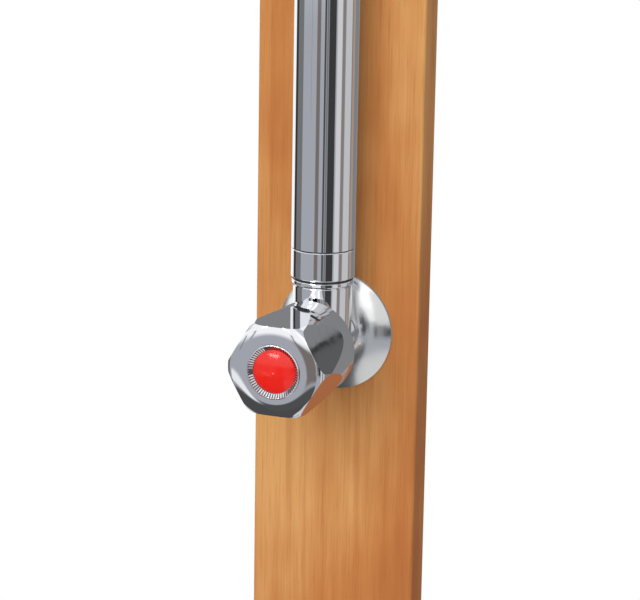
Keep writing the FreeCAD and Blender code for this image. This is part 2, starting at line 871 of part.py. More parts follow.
def make_headwork():
    gasket_bore = s.thread_radius + s.thread_play
    ring("headwork_gasket", valve, gasket_bore, s.hex_across / 2, boss_end, hex_low)
    corner = s.hex_across / math.sqrt(3)
    bevel = (corner - s.hex_across / 2) * s.hex_bevel_share
    chamfer = s.headwork_chamfer
    groove_high = clip_high + s.clip_play
    body = turned("headwork_body", valve, [
        (guide_radius, headwork_low), (s.thread_radius - chamfer, headwork_low),
        (s.thread_radius, headwork_low + chamfer), (s.thread_radius, hex_low),
        (corner, hex_low), (corner, hex_high - bevel), (s.hex_across / 2, hex_high),
        (s.headwork_radius, hex_high), (s.headwork_radius, s.headwork_end),
        (journal_bore, s.headwork_end), (journal_bore, groove_high),
        (clip_groove, groove_high), (clip_groove, s.clip_place),
        (journal_bore, s.clip_place), (journal_bore, guide_high), (guide_radius, guide_high),
    ])
    cut_flats(body, s.hex_across, hex_low, s.hex_height)


def make_spindle():
    screw_low = journal_low - s.screw_reach
    groove_low, groove_high = oring_at - oring_groove_half, oring_at + oring_groove_half
    body = turned("spindle", valve, [
        (0, screw_low), (s.screw_radius - s.screw_chamfer, screw_low),
        (s.screw_radius, screw_low + s.screw_chamfer), (s.screw_radius, journal_low),
        (s.journal_radius, journal_low), (s.journal_radius, groove_low),
        (oring_floor, groove_low), (oring_floor, groove_high), (s.journal_radius, groove_high),
        (s.journal_radius, journal_high), (s.spindle_neck_radius, journal_high),
        (s.spindle_neck_radius, square_start), (0, square_start),
    ], spin=s.knob_rest_angle.value)
    square = new_sketch(body, "XY", square_start)
    draw_box(square, s.square_side / 2, s.square_side / 2)
    pad(body, square, square_end - square_start)
    tapped = new_sketch(body, "XY", square_end)
    draw_circle(tapped, 0, 0, s.knob_screw_radius + s.screw_play)
    pocket(body, tapped, s.knob_screw_length)
    middle = oring_floor + s.spindle_oring_radius + s.oring_seat
    round_ring("spindle_oring", valve, middle, s.spindle_oring_radius - s.oring_seat, oring_at)
    inner, outer = s.spindle_neck_radius + s.guide_play, clip_groove - s.clip_play
    clip = ring("spindle_clip", valve, inner, outer, s.clip_place, clip_high)
    opening = new_sketch(clip, "XY", s.clip_place)
    draw_box(opening, s.clip_thick, s.journal_radius, centre_y=-s.journal_radius)
    pocket(clip, opening, s.clip_thick, reverse=True)


def make_jumper():
    body = turned("jumper", valve, [
        (0, disc_high), (s.jumper_plate_radius, disc_high),
        (s.jumper_plate_radius, jumper_plate_high), (s.jumper_stem_radius, jumper_plate_high),
        (s.jumper_stem_radius, jumper_high), (0, jumper_high),
    ])
    threaded = new_sketch(body, "XY", jumper_high)
    draw_circle(threaded, 0, 0, s.screw_radius + s.guide_play)
    depth = jumper_high - (journal_low - s.screw_reach) + s.lift + s.guide_play
    pocket(body, threaded, depth)
    screw_hole = new_sketch(body, "XY", disc_high)
    draw_circle(screw_hole, 0, 0, s.disc_screw_radius + s.screw_play)
    pocket(body, screw_hole, s.disc_screw_length - s.disc_thick, reverse=True)
    screw_clear = s.disc_screw_radius + s.screw_play
    recess = s.disc_screw_head_radius + s.guide_play
    floor = disc_low + s.disc_screw_head_height
    turned("jumper_washer", valve, [
        (recess, disc_low), (s.disc_radius, disc_low), (s.disc_radius, disc_high),
        (screw_clear, disc_high), (screw_clear, floor), (recess, floor),
    ])
    turned("jumper_screw", valve, [
        (0, disc_low), (s.disc_screw_head_radius, disc_low),
        (s.disc_screw_head_radius, floor), (s.disc_screw_radius, floor),
        (s.disc_screw_radius, disc_low + s.disc_screw_length), (0, disc_low + s.disc_screw_length),
    ])


# ---------------------------------------------------------------------------
# Knob, index and bezel
# ---------------------------------------------------------------------------

square_floor = square_end + s.square_end_gap
hub_high = square_floor + s.hub_floor
bezel_floor = s.knob_front - s.bezel_depth
bezel_bore = s.bezel_radius + s.index_play


def make_knob():
    """A turned shell, cut by sloping flats that run out before its rear rim."""
    edge = s.knob_front - s.knob_face_fall
    ceiling = bezel_floor - s.knob_wall
    body = turned("knob", valve, [
        (0, hub_low), (s.hub_radius, hub_low), (s.hub_radius, ceiling),
        (s.flat_front_reach - s.knob_wall, ceiling),
        (s.knob_cavity_radius, s.headwork_end), (s.knob_cavity_radius, s.knob_start),
        (s.knob_rim_radius, s.knob_start), (s.knob_rim_radius, s.knob_start + s.knob_rim_band),
        (s.knob_shoulder_radius, s.knob_shoulder_place), (s.knob_edge_radius, edge),
        (bezel_bore, s.knob_front, s.knob_face_curve), (0, s.knob_front),
    ], spin=s.knob_rest_angle.value)

    def face_edge(curve, at):
        return near(at.z, edge) and near(math.hypot(at.x, at.y), s.knob_edge_radius)

    soften(body, "Fillet", edges_where(body, face_edge), s.knob_edge_round)
    beyond = s.knob_shoulder_radius + s.cut_margin
    above = s.knob_front + s.cut_margin
    slope = (s.flat_back_reach - s.flat_front_reach) / (s.knob_front - s.flat_back_place)
    wedge = new_sketch(body, "YZ")
    draw_outline(wedge, [
        (beyond, above), (s.flat_front_reach - slope * s.cut_margin, above),
        (beyond, s.flat_back_place - (beyond - s.flat_back_reach) / slope),
    ])
    flat = pocket(body, wedge, beyond * 2, both=True)
    polar(body, [flat], s.knob_flats)
    square = new_sketch(body, "XY", hub_low)
    side = s.square_side / 2 + s.square_play
    draw_box(square, side, side)
    pocket(body, square, square_floor - hub_low, reverse=True)
    spin_profile(body, "Groove", [
        (0, square_floor), (s.knob_screw_radius + s.screw_play, square_floor),
        (s.knob_screw_radius + s.screw_play, hub_high),
        (s.knob_screw_head_radius + s.guide_play, hub_high),
        (s.knob_screw_head_radius + s.guide_play, bezel_floor),
        (bezel_bore, bezel_floor), (bezel_bore, s.knob_front), (0, s.knob_front),
    ])


def make_knob_screw():
    tip = hub_high - s.knob_screw_length
    top = hub_high + s.knob_screw_head_height
    body = turned("knob_screw", valve, [
        (0, tip), (s.knob_screw_radius, tip), (s.knob_screw_radius, hub_high),
        (s.knob_screw_head_radius, hub_high), (s.knob_screw_head_radius, top), (0, top),
    ], spin=s.knob_rest_angle.value)
    slot = new_sketch(body, "XY", top)
    draw_box(slot, s.knob_screw_head_radius + s.cut_margin, s.slot_width / 2)
    pocket(body, slot, s.slot_depth)


def make_index():
    """The domed cap sits in a ring whose inner slope carries fine radial teeth."""
    bezel_top = s.knob_front + s.bezel_rise
    bore = s.index_radius + s.index_play
    slope_low = bezel_top - s.bezel_slope_depth
    lip = (s.bezel_radius - s.bezel_slope_radius) / 2
    body = turned("bezel_ring", valve, [
        (bore, bezel_floor), (s.bezel_radius, bezel_floor), (s.bezel_radius, bezel_top - lip),
        (s.bezel_radius - lip, bezel_top, lip), (s.bezel_slope_radius, bezel_top - lip, lip),
        (bore, slope_low),
    ], spin=s.knob_rest_angle.value)
    gap = new_sketch(body, "XZ")
    outer = s.bezel_slope_radius - s.tooth_gap_margin
    draw_outline(gap, [
        (s.index_radius, slope_low - s.tooth_gap_depth),
        (outer, bezel_top - lip - s.tooth_gap_depth),
        (outer, bezel_top), (s.index_radius, bezel_top),
    ])
    cut = pocket(body, gap, s.tooth_gap_width, both=True)
    polar(body, [cut], s.bezel_teeth)
    seat = bezel_floor + s.index_seat
    edge = bezel_floor + s.index_edge
    dome = (s.index_radius * s.index_radius / s.index_dome + s.index_dome) / 2
    turned("index_cap", valve, [
        (0, seat), (s.index_radius, seat), (s.index_radius, edge),
        (0, edge + s.index_dome, dome),
    ], spin=s.knob_rest_angle.value)


# ---------------------------------------------------------------------------
# Riser tube and its saddles
# ---------------------------------------------------------------------------

def make_riser():
    """One tube swept up the post and round the bend to the end of the arm."""
    body = new_body("riser_tube", riser)
    path = new_sketch(body, "YZ")
    low, top = tube_low, riser_rise
    bend_x = s.riser_stand + s.bend_radius * (1 - cosine(s.arm_turn))
    bend_y = riser_rise + s.bend_radius * sine(s.arm_turn)
    corners = [(s.riser_stand, low), (s.riser_stand, top), (bend_x, bend_y), (arm_out, arm_up)]
    places = [Vector(x.value, y.value, 0) for x, y in corners]
    centre = Vector((s.riser_stand + s.bend_radius).value, top.value, 0)
    circle = Part.Circle(centre, Vector(0, 0, 1), s.bend_radius.value)
    start = math.pi - math.radians(s.arm_turn.value)
    shapes = [
        Part.LineSegment(places[0], places[1]),
        Part.ArcOfCircle(circle, start, math.pi),
        Part.LineSegment(places[2], places[3]),
    ]
    for shape in shapes:
        path.addGeometry(shape, False)
    pin_point(path, 0, 1, *corners[0])
    pin_point(path, 0, 2, *corners[1])
    path.addConstraint(Sketcher.Constraint("Coincident", 1, 2, 0, 2))
    bind(path, Sketcher.Constraint("Radius", 1, s.bend_radius.value), s.bend_radius)
    pin_point(path, 2, 1, *corners[2])
    path.addConstraint(Sketcher.Constraint("Coincident", 1, 1, 2, 1))
    pin_point(path, 2, 2, *corners[3])
    section = new_sketch(body, "XY", low)
    draw_circle(section, 0, s.riser_stand, s.tube_radius)
    draw_circle(section, 0, s.riser_stand, s.tube_radius - s.tube_wall)
    doc.recompute()
    pipe = body.newObject("PartDesign::AdditivePipe", "AdditivePipe")
    pipe.Profile = section
    pipe.Spine = (path, ["Edge1", "Edge2", "Edge3"])
    pipe.Transition = "Right corner"


def make_saddle(label, height):
    """A strap bent over the tube, with an ear screwed to the board on each side."""
    body = new_body(label, riser)
    strap = new_sketch(body, "XY", height - s.strap_width / 2)
    inner = s.tube_radius + s.strap_play
    outer = inner + s.strap_thick
    ear = outer + s.ear_length
    thick, middle = s.strap_thick, s.riser_stand
    draw_outline(strap, [
        (ear, 0), (ear, thick), (outer, thick), (outer, middle), (0, middle + outer, outer),
        (-outer, middle, outer), (-outer, thick), (-ear, thick), (-ear, 0), (-inner, 0),
        (-inner, middle), (0, middle + inner, -inner), (inner, middle, -inner), (inner, 0),
    ])
    pad(body, strap, s.strap_width)

    def ear_corner(edge, at):
        return near(abs(at.x), ear) and near(at.y, thick / 2)

    soften(body, "Fillet", edges_where(body, ear_corner), s.ear_corner)

    def bend(edge, at):
        return near(abs(at.x), outer) and near(at.y, thick)

    soften(body, "Fillet", edges_where(body, bend), s.strap_bend)
    holes = new_sketch(body, "XZ")
    for side in (-1, 1):
        draw_circle(holes, ear_middle * side, height, s.saddle_screw_radius + s.bolt_play)
    pocket(body, holes, thick * 3, both=True)


def make_saddle_pad(label, height):
    """A block between board and tube, hollowed to the tube's curve."""
    body = new_body(label, riser)
    block = new_sketch(body, "XY", height - s.strap_width / 2)
    seat = s.tube_radius + s.strap_play
    half = s.pad_half_width
    shoulder = s.riser_stand - root(seat * seat - half * half)
    draw_outline(block, [(-half, 0), (half, 0), (half, shoulder), (-half, shoulder, -seat)])
    pad(body, block, s.strap_width)


def make_saddle_screws():
    lower = s.valve_height + lower_saddle
    tip = Frame(x=-ear_middle, y=board_face + s.saddle_screw_depth, z=lower, angle=FRONT)
    seat = s.saddle_screw_depth + s.strap_thick
    head, height = s.saddle_head_radius, s.saddle_head_height
    dome = (head * head / height + height) / 2
    body = turned("saddle_screws", tip, [
        (0, 0), (s.saddle_screw_radius, s.saddle_screw_point), (s.saddle_screw_radius, seat),
        (head, seat), (0, seat + height, dome),
    ])
    slot = new_sketch(body, "XY", seat + height)
    draw_box(slot, head, s.slot_width / 2)
    pocket(body, slot, s.slot_depth)
    repeat(body, "X_Axis", ear_middle * 2, "Y_Axis", s.saddle_spacing)


# ---------------------------------------------------------------------------
# Arm end, ball and swivel
# ---------------------------------------------------------------------------

plug_thread_low = s.plug_flange + s.plug_cone
plug_end = plug_thread_low + s.plug_thread
socket_end = plug_end + s.nipple_gasket_thick
ball_room = s.ball_radius + s.ball_play
seat_outer = ball_room + s.ball_seat_wall
nut_room = seat_outer + s.ball_play


def make_arm_end():
    spigot = s.tube_radius - s.tube_wall - s.plug_play
    turned("arm_end_plug", arm_end, [
        (s.nipple_bore, -s.plug_insert), (spigot, -s.plug_insert), (spigot, 0),
        (s.tube_radius, 0), (s.tube_radius, s.plug_flange),
        (s.plug_cone_radius, plug_thread_low), (s.thread_radius, plug_thread_low),
        (s.thread_radius, plug_end), (s.nipple_bore, plug_end),
    ])
    ring("nipple_gasket", arm_end, s.nipple_bore, s.thread_radius, plug_end, socket_end)


def make_ball_nipple():
    body = new_body("ball_nipple", arm_end)
    corner = s.nipple_hex_across / math.sqrt(3)
    bevel = (corner - s.nipple_hex_across / 2) * s.hex_bevel_share
    low = plug_thread_low + s.nipple_hex_gap
    high = socket_end + s.nipple_hex_end
    centre = s.ball_reach
    neck_end = centre - root(s.ball_radius * s.ball_radius - s.ball_neck_radius * s.ball_neck_radius)
    mouth = root(s.ball_radius * s.ball_radius - s.ball_bore * s.ball_bore)
    spin_profile(body, "Revolution", [
        (thread_hole, low), (s.nipple_hex_across / 2, low), (corner, low + bevel),
        (corner, high - bevel), (s.nipple_hex_across / 2, high),
        (s.ball_neck_radius, high + s.nipple_hex_taper),
        (s.ball_neck_radius, neck_end), (s.ball_radius, centre, s.ball_radius),
        (s.ball_bore, centre + mouth, s.ball_radius), (s.ball_bore, socket_end),
        (thread_hole, socket_end),
    ])
    cut_flats(body, s.nipple_hex_across, low, high - low)


def make_ball_seat():
    """A slip ring between two spheres, behind the ball's widest line."""
    edge, middle = s.ball_seat_edge, s.ball_seat_inner_edge
    turned("ball_seat", ball, [
        (ball_room * sine(edge), -(ball_room * cosine(edge)), -ball_room),
        (seat_outer * sine(edge), -(seat_outer * cosine(edge))),
        (seat_outer * sine(middle), -(seat_outer * cosine(middle)), seat_outer),
        (ball_room * sine(middle), -(ball_room * cosine(middle))),
    ])


def make_swivel_nut():
    body = new_body("swivel_nut", ball)
    opening = s.nut_open_angle
    thread = s.head_neck_radius + s.thread_play
    outer, bevel, edge = s.nut_outer_radius, s.nut_chamfer, s.nut_edge
    spin_profile(body, "Revolution", [
        (s.nut_mouth_radius, -s.nut_back), (outer - bevel, -s.nut_back),
        (outer, bevel - s.nut_back), (outer, s.nut_front - edge), (outer - edge, s.nut_front),
        (thread, s.nut_front), (thread, 0), (nut_room, 0),
        (nut_room * sine(opening), -(nut_room * cosine(opening)), -nut_room),
    ])
    across = s.swivel_across
    cut_flats(body, across, -s.nut_back, s.nut_back + s.nut_front)


def make_ball_packing():
    low = s.head_neck_start + s.packing_play
    high = s.head_neck_start + s.packing_depth
    outer = s.packing_radius - s.packing_play
    room = ball_room * ball_room
    turned("ball_packing", ball, [
        (root(room - low * low), low, -ball_room), (outer, low), (outer, high),
        (root(room - high * high), high),
    ])


# ---------------------------------------------------------------------------
# Shower head
# ---------------------------------------------------------------------------

mat_high = s.head_end + s.mat_thick
face_high = mat_high + s.plate_face_thick
ring_high = face_high + s.ring_lip


def make_head_shell():
    """A bell: a threaded neck round the ball, a flared wall, and a threaded rim."""
    start, neck = s.head_neck_start, s.head_neck_radius
    room_end = s.ball_room_depth
    floor = room_end + s.head_floor
    inside = s.head_radius - s.head_wall
    turned("head_shell", ball, [
        (s.packing_radius, start), (neck, start), (neck, s.head_neck_end),
        (s.head_radius, s.head_bell_end, -s.head_bell_curve), (s.head_radius, s.head_end),
        (inside, s.head_end), (inside, s.head_bell_end + s.head_wall / 2),
        (neck - s.head_wall, floor + s.head_wall, s.head_bell_curve),
        (s.head_inlet_radius + s.head_floor_width, floor), (s.head_inlet_radius, floor),
        (s.head_inlet_radius, room_end), (s.ball_room_radius, room_end),
        (s.ball_room_radius, start + s.packing_depth + s.packing_play),
        (s.packing_radius, start + s.packing_depth + s.packing_play),
    ])


def nozzle_rings(body, kind, low, length, radius):
    """Three rings of nozzles or nozzle holes: 6, 12 and 18 with the first count of 6."""
    feature = None
    for number in (1, 2, 3):
        sketch = new_sketch(body, "XY", low)
        draw_circle(sketch, s.nozzle_ring_step * number, 0, radius)
        feature = extrude(body, kind, sketch, length, reverse=(kind == "Pocket"))
        polar(body, [feature], s.nozzle_ring_count * number)


def make_face():
    mat = ring("nozzle_mat", ball, s.nozzle_bore, s.head_radius, s.head_end, mat_high)
    nozzle_rings(mat, "Pad", mat_high, s.plate_face_thick + s.nozzle_rise, s.nozzle_radius)
    plate = ring("spray_plate", ball, s.nozzle_bore, s.head_radius, mat_high, face_high)
    nozzle_rings(plate, "Pocket", mat_high, s.plate_face_thick, s.nozzle_radius + s.nozzle_play)
    inner = s.head_radius + s.ring_play
    outer = inner + s.ring_wall
    lip = s.head_radius - s.ring_lip_width
    low = s.head_end - s.ring_overlap
    bevel, curve = s.ring_bevel, s.ring_round
    turned("face_ring", ball, [
        (inner, low), (outer - bevel, low), (outer, low + bevel), (outer, ring_high - curve),
        (outer - curve, ring_high, curve), (lip + s.ring_lip_slope, ring_high),
        (lip, face_high), (inner, face_high),
    ])


# ---------------------------------------------------------------------------
# Build, check and write
# ---------------------------------------------------------------------------

def build():
    make_board()
    make_foot_plate()
    make_shoe()
    make_shoe_fasteners()
    make_inlet()
    make_cover()
    make_valve_body()
    make_tube_joint()
    make_headwork()
    make_spindle()
    make_jumper()
    make_knob()
    make_knob_screw()
    make_index()
    make_riser()
    for name, height in (("lower", lower_saddle), ("upper", upper_saddle)):
        make_saddle(f"{name}_saddle", height)
        make_saddle_pad(f"{name}_saddle_pad", height)
    make_saddle_screws()
    make_arm_end()
    make_ball_nipple()
    make_ball_seat()
    make_swivel_nut()
    make_ball_packing()
    make_head_shell()
    make_face()
    doc.recompute()


def check():
    for item in doc.Objects:
        if "Invalid" in item.State or "Error" in item.State:
            raise RuntimeError(f"{item.Label} ({item.Name}) did not compute: {item.State}")
    for body in pieces:
        if body.Shape.isNull() or not body.Shape.isValid() or not body.Shape.Solids:
            raise RuntimeError(f"{body.Label} has no valid solid")


def write():
    os.makedirs("parts", exist_ok=True)
    for body in pieces:
        body.Shape.exportStep(os.path.join("parts", f"{body.Label}.step"))
        count = len(body.Shape.Solids)
        print(f"{body.Label}: {count} solid(s), {body.Shape.Volume / 1000:.2f} cm3")


build()
check()
write()
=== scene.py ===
import json
import math

import bpy
from mathutils import Matrix, Vector


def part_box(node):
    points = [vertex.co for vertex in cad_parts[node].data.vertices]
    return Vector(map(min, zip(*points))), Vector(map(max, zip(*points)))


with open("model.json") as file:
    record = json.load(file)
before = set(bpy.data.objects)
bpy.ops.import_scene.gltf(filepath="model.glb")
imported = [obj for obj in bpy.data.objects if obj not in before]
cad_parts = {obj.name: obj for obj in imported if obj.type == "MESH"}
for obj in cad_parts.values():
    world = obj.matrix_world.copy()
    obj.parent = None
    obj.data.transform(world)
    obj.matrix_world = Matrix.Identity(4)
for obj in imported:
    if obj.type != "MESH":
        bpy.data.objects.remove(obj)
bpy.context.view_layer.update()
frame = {"nodes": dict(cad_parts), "record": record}

scene = bpy.context.scene


# ---------------------------------------------------------------------------
# Node graphs
# ---------------------------------------------------------------------------

class Graph:
    """A node tree that is written as calls: each call adds a node and wires its inputs."""

    def __init__(self, tree):
        self.tree = tree
        tree.nodes.clear()

    def add(self, kind, inputs=None, **settings):
        node = self.tree.nodes.new("ShaderNode" + kind)
        for name, value in settings.items():
            setattr(node, name, value)
        for name, value in (inputs or {}).items():
            if isinstance(value, bpy.types.NodeSocket):
                self.tree.links.new(value, node.inputs[name])
            else:
                node.inputs[name].default_value = value
        return node

    def math(self, operation, first, second=0.0, third=0.0, clamp=False):
        inputs = {0: first, 1: second, 2: third}
        return self.add("Math", inputs, operation=operation, use_clamp=clamp).outputs[0]

    def smooth(self, value, low, high, start=0.0, end=1.0):
        """A soft step: start below low, end above high."""
        inputs = {
            "Value": value, "From Min": low, "From Max": high, "To Min": start, "To Max": end,
        }
        return self.add("MapRange", inputs, interpolation_type="SMOOTHSTEP").outputs["Result"]

    def stretched(self, scale, offset=(0.0, 0.0, 0.0)):
        """Object coordinates in metres, stretched by a scale along each axis."""
        place = self.add("TexCoord").outputs["Object"]
        inputs = {"Vector": place, "Scale": scale, "Location": offset}
        return self.add("Mapping", inputs).outputs["Vector"]

    def noise(self, vector, scale=1.0, detail=2.0, roughness=0.5, distortion=0.0):
        inputs = {
            "Vector": vector, "Scale": scale, "Detail": detail,
            "Roughness": roughness, "Distortion": distortion,
        }
        return self.add("TexNoise", inputs).outputs["Fac"]

    def ramp(self, value, stops):
        """A colour ramp; each stop is a place from 0 to 1 and a colour."""
        node = self.add("ValToRGB", {"Fac": value})
        elements = node.color_ramp.elements
        while len(elements) < len(stops):
            elements.new(0.5)
        for element, (place, colour) in zip(elements, stops):
            element.position = place
            element.color = (*colour, 1.0)
        return node.outputs["Color"]

    def mix(self, factor, first, second, blend="MIX"):
        node = self.add("Mix", data_type="RGBA", blend_type=blend)
        values = ((node.inputs[0], factor), (node.inputs[6], first), (node.inputs[7], second))
        for socket, value in values:
            if isinstance(value, bpy.types.NodeSocket):
                self.tree.links.new(value, socket)
            else:
                socket.default_value = value
        return node.outputs[2]

    def bump(self, height, distance, strength=1.0):
        inputs = {"Height": height, "Distance": distance, "Strength": strength}
        return self.add("Bump", inputs).outputs["Normal"]


def surface(name, inputs, build=None):
    """A Principled material. build(graph) may return more inputs for its shader."""
    material = bpy.data.materials.new(name)
    material.use_nodes = True
    graph = Graph(material.node_tree)
    wired = dict(inputs)
    if build:
        wired.update(build(graph))
    shader = graph.add("BsdfPrincipled", wired)
    output = graph.add("OutputMaterial")
    graph.tree.links.new(shader.outputs["BSDF"], output.inputs["Surface"])
    return material


def srgb(red, green, blue):
    """A colour as a screen gives it, 0 to 255, turned into linear light."""
    def linear(level):
        level /= 255
        return level / 12.92 if level <= 0.04045 else ((level + 0.055) / 1.055) ** 2.4
    return linear(red), linear(green), linear(blue)


def solid(colour):
    """A colour with full alpha, as a colour socket takes it."""
    return (*colour, 1.0)


# ---------------------------------------------------------------------------
# Materials
# ---------------------------------------------------------------------------

METAL = {"Metallic": 1.0}
CHROME = (0.80, 0.81, 0.84)

WOOD_TONES = [
    (0.0, srgb(174, 106, 57)), (0.35, srgb(188, 123, 68)),
    (0.7, srgb(198, 139, 82)), (1.0, srgb(208, 154, 95)),
]
GROWTH_LINE = srgb(172, 100, 54)
WOOD_FIBRE = srgb(150, 84, 44)


def wood_nodes(g):
    """Straight-grained softwood: broad bands, growth lines and short fibres along Z."""
    bands = g.noise(g.stretched((42, 42, 1.6)), detail=3, roughness=0.6, distortion=0.4)
    patches = g.noise(g.stretched((16, 16, 6.5), (3, 1, 2)), detail=3, roughness=0.6)
    lines = g.noise(g.stretched((320, 320, 4.5), (7, 2, 5)), detail=4, roughness=0.7)
    fibres = g.noise(g.stretched((1100, 1100, 30), (1, 8, 3)), detail=3, roughness=0.65)
    tone = g.math("MULTIPLY_ADD", patches, 0.6, g.math("MULTIPLY", bands, 0.4))
    colour = g.ramp(g.smooth(tone, 0.34, 0.66), WOOD_TONES)
    colour = g.mix(g.smooth(lines, 0.45, 0.7, 0.0, 0.38), colour, solid(GROWTH_LINE))
    colour = g.mix(g.smooth(fibres, 0.45, 0.75, 0.0, 0.32), colour, solid(WOOD_FIBRE))
    height = g.math("MULTIPLY_ADD", fibres, 0.5, g.math("MULTIPLY", lines, 0.5))
    return {
        "Base Color": colour,
        "Roughness": g.smooth(fibres, 0.3, 0.7, 0.42, 0.58),
        "Normal": g.bump(height, 0.00008, 0.6),
    }


def chrome_nodes(wave, strength):
    """Polished plate: faint haze, and a very shallow waviness in what it reflects."""
    def build(g):
        haze = g.noise(g.stretched((90, 90, 90)), detail=4, roughness=0.7)
        swell = g.noise(g.stretched((wave, wave, wave), (4, 9, 1)), detail=1)
        return {
            "Roughness": g.smooth(haze, 0.3, 0.75, 0.02, 0.06),
            "Normal": g.bump(swell, 0.0004, strength),
        }
    return build


BEZEL_TEETH = 60
BEZEL_START = -1.0           # degrees from +X to the middle of a gap
GAP_SHARE = 0.21             # half a gap, as a share of the pitch
GAP_SOFT = 0.05              # half the soft edge of a gap, as a share of the pitch
GAP_REACH = (0.0110, 0.0128)  # metres from the index axis
REACH_SOFT = 0.0002
# The gap colour below is painted shade, laid into the gaps between the teeth.
GAP_PAINTED_SHADE = (0.10, 0.10, 0.11)


def toothed_nodes(g):
    """Polished teeth round the index, with painted shade darkening the gaps between them."""
    low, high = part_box("index_cap")
    axis_height = (low[2] + high[2]) / 2
    about_axis = g.stretched((1, 1, 1), (0.0, 0.0, -axis_height))
    axes = g.add("SeparateXYZ", {0: about_axis})
    right, up = axes.outputs["X"], axes.outputs["Z"]
    angle = g.math("DEGREES", g.math("ARCTAN2", up, right))
    turn = g.math("MULTIPLY", g.math("SUBTRACT", angle, BEZEL_START), BEZEL_TEETH / 360)
    off_gap = g.math("ABSOLUTE", g.math("WRAP", turn, 0.5, -0.5))
    squares = g.math("ADD", g.math("MULTIPLY", right, right), g.math("MULTIPLY", up, up))
    reach = g.math("SQRT", squares)
    inner, outer = GAP_REACH
    past_inner = g.smooth(reach, inner - REACH_SOFT, inner)
    before_outer = g.smooth(reach, outer, outer + REACH_SOFT, 1.0, 0.0)
    in_reach = g.math("MULTIPLY", past_inner, before_outer)
    near_gap = g.smooth(off_gap, GAP_SHARE - GAP_SOFT, GAP_SHARE + GAP_SOFT, 1.0, 0.0)
    gap = g.math("MULTIPLY", in_reach, near_gap)
    return {
        # The gaps get painted shade in their colour, and a higher roughness.
        "Base Color": g.mix(gap, solid(CHROME), solid(GAP_PAINTED_SHADE)),
        "Roughness": g.smooth(gap, 0.0, 1.0, 0.06, 0.35),
    }


def satin_nodes(g):
    """Softly polished plate with a faint haze."""
    haze = g.noise(g.stretched((70, 70, 70)), detail=3, roughness=0.6)
    return {"Roughness": g.smooth(haze, 0.3, 0.7, 0.14, 0.22)}


def galvanised_nodes(g):
    """Zinc spangle: small crystals that differ in tone and in polish."""
    cells = {"Vector": g.stretched((1, 1, 1)), "Scale": 190.0}
    spangle = g.add("TexVoronoi", cells).outputs["Color"]
    shade = g.add("SeparateColor", {"Color": spangle}).outputs["Red"]
    colour = g.ramp(shade, [(0.0, (0.40, 0.42, 0.44)), (1.0, (0.60, 0.61, 0.62))])
    return {"Base Color": colour, "Roughness": g.smooth(shade, 0.0, 1.0, 0.35, 0.55)}


def worn_nodes(low, high):
    """A fine grain in the polish, between a low and a high roughness."""
    def build(g):
        grain = g.noise(g.stretched((160, 160, 160)), detail=4, roughness=0.6)
        return {"Roughness": g.smooth(grain, 0.3, 0.7, low, high)}
    return build


MATERIALS = {
    "oiled_wood": surface("oiled_wood", {"Specular IOR Level": 0.12}, wood_nodes),
    "bright_chrome": surface(
        "bright_chrome", {**METAL, "Base Color": solid(CHROME)}, chrome_nodes(60, 0.05)
    ),
    "satin_chrome": surface(
        "satin_chrome", {**METAL, "Base Color": solid((0.82, 0.83, 0.83))}, satin_nodes
    ),
    "galvanised_steel": surface("galvanised_steel", METAL, galvanised_nodes),
    "fixing_steel": surface(
        "fixing_steel", {**METAL, "Base Color": solid((0.62, 0.62, 0.63))}, worn_nodes(0.22, 0.36)
    ),
    "plain_brass": surface(
        "plain_brass", {**METAL, "Base Color": solid((0.72, 0.52, 0.24))}, worn_nodes(0.2, 0.34)
    ),
    "black_rubber": surface(
        "black_rubber", {"Base Color": solid((0.02, 0.02, 0.022))}, worn_nodes(0.5, 0.7)
    ),
    "grey_rubber": surface(
        "grey_rubber", {"Base Color": solid((0.20, 0.21, 0.22))}, worn_nodes(0.5, 0.65)
    ),
    "pad_plastic": surface(
        "pad_plastic", {"Base Color": solid((0.05, 0.05, 0.055))}, worn_nodes(0.45, 0.6)
    ),
    "seat_plastic": surface(
        "seat_plastic", {"Base Color": solid((0.78, 0.78, 0.75))}, worn_nodes(0.3, 0.42)
    ),
    "red_index": surface(
        "red_index", {"Base Color": solid(srgb(222, 30, 20))}, worn_nodes(0.12, 0.16)
    ),
}
TOOTHED_CHROME = surface("toothed_chrome", METAL, toothed_nodes)


def finish_nodes():
    """Give each CAD node the material of its slot in the record."""
    for part in frame["record"]["subparts"]:
        item = frame["nodes"][part["node"]]
        item.data.materials.clear()
        item.data.materials.append(MATERIALS[part["material_slot"]])
    # The bezel ring's chrome has painted shade in the gaps between its teeth.
    frame["nodes"]["bezel_ring"].data.materials[0] = TOOTHED_CHROME
    # Where the board stands, the chrome mirrors the room, as it does in the photograph.
    frame["nodes"]["post_board"].visible_glossy = False


# ---------------------------------------------------------------------------
# Stage: floor, room and lamps
# ---------------------------------------------------------------------------

FLOOR_RADIUS = 14.0
FLOOR_FADE = (0.7, 2.2)      # metres from the post
FLOOR_SHADE = (0.86, 0.86, 0.86)
WHITE = (1.0, 1.0, 1.0)


def make_floor():
    """A pale floor with the post's shadow, which fades to the white of the room further out."""
    material = bpy.data.materials.new("floor")
    material.use_nodes = True
    g = Graph(material.node_tree)
    place = g.add("TexCoord").outputs["Object"]
    reach = g.add("VectorMath", {0: place}, operation="LENGTH").outputs["Value"]
    pale = g.add("BsdfDiffuse", {"Color": solid(FLOOR_SHADE)}).outputs[0]
    white = g.add("Emission", {"Color": solid(WHITE), "Strength": 1.0}).outputs[0]
    seen = g.add("LightPath").outputs["Is Camera Ray"]
    fade = g.math("MULTIPLY", g.smooth(reach, *FLOOR_FADE), seen)
    blend = g.add("MixShader", {0: fade, 1: pale, 2: white})
    output = g.add("OutputMaterial")
    g.tree.links.new(blend.outputs[0], output.inputs["Surface"])
    bpy.ops.mesh.primitive_circle_add(vertices=96, radius=FLOOR_RADIUS, fill_type="NGON")
    floor = bpy.context.object
    floor.name = "floor"
    floor.data.materials.append(material)
    floor.visible_glossy = False


